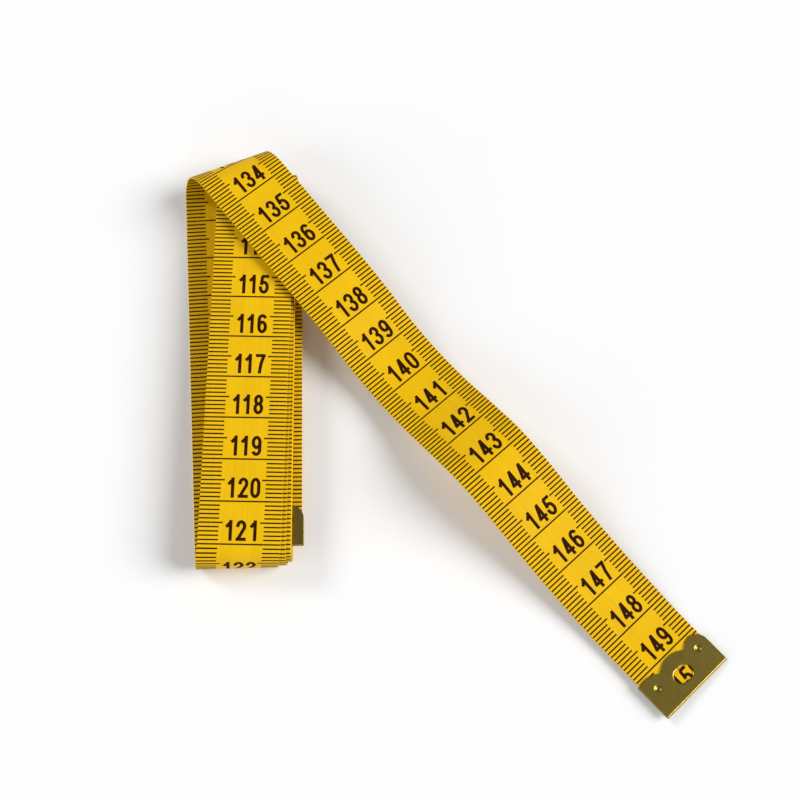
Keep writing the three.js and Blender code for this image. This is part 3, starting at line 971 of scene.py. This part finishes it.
def tip_surfaces():
    """Outer and inner points of the sheet, and the faces of its grid that are left."""
    x, y, angle = tip_grid()
    rows, columns = x.shape
    front = angle > math.pi / 2 - ANGLE_TOLERANCE
    flat = np.abs(np.abs(angle) - math.pi / 2) < ANGLE_TOLERANCE

    from_window = np.where(front, window_distance(x, y), FAR)
    middle = (from_window[:-1, :-1] + from_window[1:, 1:]) / 2
    kept = middle > 0
    touches_kept = np.zeros_like(front)
    touches_cut = np.zeros_like(front)
    for row in (0, 1):
        for column in (0, 1):
            block = (slice(row, rows - 1 + row), slice(column, columns - 1 + column))
            touches_kept[block] |= kept
            touches_cut[block] |= ~kept
    rim = touches_kept & touches_cut
    step = SLOPE_STEP
    slope_x = (window_distance(x + step, y) - window_distance(x - step, y)) / (2 * step)
    slope_y = (window_distance(x, y + step) - window_distance(x, y - step)) / (2 * step)
    x = np.where(rim, x - from_window * slope_x, x)
    y = np.where(rim, y - from_window * slope_y, y)

    from_inner = x - inner_edge(y)
    from_side = tip_half_width - np.abs(y)
    from_edge = np.minimum(np.where(flat, from_inner, FAR), from_side)
    from_edge = np.minimum(from_edge, np.where(rim, 0.0, np.maximum(from_window, 0)))
    from_dimple = np.hypot(x + DIMPLE_FROM_END, np.abs(y) - DIMPLE_FROM_MIDDLE) / DIMPLE_RADIUS
    wall = np.clip((1 - from_dimple) / (1 - DIMPLE_FLOOR), 0, 1)
    dimple = DIMPLE_DEPTH * np.where(front, smooth(wall), 0)

    def raised(radius):
        return np.stack([x + radius * np.cos(angle), y, radius * np.sin(angle)], axis=-1)

    outer = raised(tip_half_thickness - edge_fall(from_edge) - dimple)
    inner = raised(tip_half_thickness - TIP_SHEET + edge_fall(from_edge) / 2 - INNER_DIMPLE_SHARE * dimple)
    return outer, inner, kept


def tip_faces(kept):
    rows, columns = kept.shape[0] + 1, kept.shape[1] + 1
    count = rows * columns
    faces = []
    rims = {}
    for row, column in zip(*np.nonzero(kept)):
        a = row * columns + column
        corners = [a, a + 1, a + columns + 1, a + columns]
        faces.append(corners)
        faces.append([corner + count for corner in reversed(corners)])
        for start, end in zip(corners, corners[1:] + corners[:1]):
            if (end, start) in rims:
                del rims[(end, start)]
            else:
                rims[(start, end)] = True
    faces += [[end, start, start + count, end + count] for start, end in rims]
    return faces


def without_loose(places, faces, uv):
    used = np.unique(np.concatenate([np.array(face) for face in faces]))
    place_of = np.full(len(places), -1)
    place_of[used] = np.arange(len(used))
    return places[used], [place_of[face].tolist() for face in faces], uv[used]


def tip(name, s, outward_sign, face, material):
    """A tip on the tape's end at s. Its own x points out past the end, and z out of its window face."""
    origin, inside, above = tape_places([s, s - outward_sign, s], [0, 0, 0], [0, 0, face])
    outward = unit(origin - inside)
    front = unit(above - origin)
    across = np.cross(front, outward)
    outer, inner, kept = tip_surfaces()
    local = np.concatenate([outer.reshape(-1, 3), inner.reshape(-1, 3)])
    places = origin + local @ np.array([outward, across, front])
    uv = local[:, :2] * METRES
    places, faces, uv = without_loose(places, tip_faces(kept), uv)
    return new_object(name, places, faces, material, uv, TIP_SHARP_ANGLE)


# Stage

def add_camera():
    data = bpy.data.cameras.new("camera")
    data.lens = CAMERA_LENS
    data.sensor_width = CAMERA_SENSOR
    camera = bpy.data.objects.new("camera", data)
    camera.location = Vector(CAMERA_PLACE) * METRES
    look = Vector(CAMERA_TARGET) - Vector(CAMERA_PLACE)
    camera.rotation_euler = look.to_track_quat("-Z", "Y").to_euler()
    bpy.context.scene.collection.objects.link(camera)
    bpy.context.scene.camera = camera


def add_floor():
    half = FLOOR_SIZE / 2
    corners = [(-half, -half, -FLOOR_DROP), (half, -half, -FLOOR_DROP)]
    corners += [(half, half, -FLOOR_DROP), (-half, half, -FLOOR_DROP)]
    mesh = bpy.data.meshes.new("floor")
    mesh.from_pydata((np.array(corners) * METRES).tolist(), [], [[0, 1, 2, 3]])
    mesh.materials.append(floor_material())
    floor = bpy.data.objects.new("floor", mesh)
    bpy.context.scene.collection.objects.link(floor)


def add_sun(name, azimuth, elevation, strength, angle):
    """A soft lamp that shines from a direction, counter-clockwise from +X and up from the floor."""
    data = bpy.data.lights.new(name, "SUN")
    data.energy = strength
    data.angle = math.radians(angle)
    lamp = bpy.data.objects.new(name, data)
    lamp.rotation_euler = (0, math.radians(90 - elevation), math.radians(azimuth))
    bpy.context.scene.collection.objects.link(lamp)


def add_world():
    world = bpy.data.worlds.new("studio")
    world.use_nodes = True
    background = world.node_tree.nodes["Background"]
    background.inputs["Color"].default_value = WORLD_COLOUR
    background.inputs["Strength"].default_value = WORLD_STRENGTH
    bpy.context.scene.world = world


bpy.context.scene.view_settings.view_transform = "Standard"
add_camera()
add_floor()
add_world()
for lamp in LAMPS:
    add_sun(*lamp)

tape_finish = tape_material()
ink_finish = ink_material()
brass_finish = brass_material()

for index, (_, node, bodies, bend) in enumerate(stretches):
    piece = tape_stretch(index, tape_finish)
    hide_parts(node)
    follow(piece, bodies, bend)

plates_of = [[] for _ in stretches]
for plate in printed_plates():
    plates_of[stretch_of(plate)].append(plate)
for index, (_, _, bodies, bend) in enumerate(stretches):
    piece = printed_stretch(index, plates_of[index], ink_finish)
    follow(piece, bodies, bend)

# Each face is numbered up to the end where its tip has the window.
for name, node, s, outward_sign, face, body in (
    ("brass_zero_tip", "zero_tip", 0, -1, -1, "wound_tape"),
    ("brass_end_tip", "end_tip", TAPE_LENGTH, 1, 1, "tail_5"),
):
    piece = tip(name, s, outward_sign, face, brass_finish)
    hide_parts(node)
    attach(piece, body)
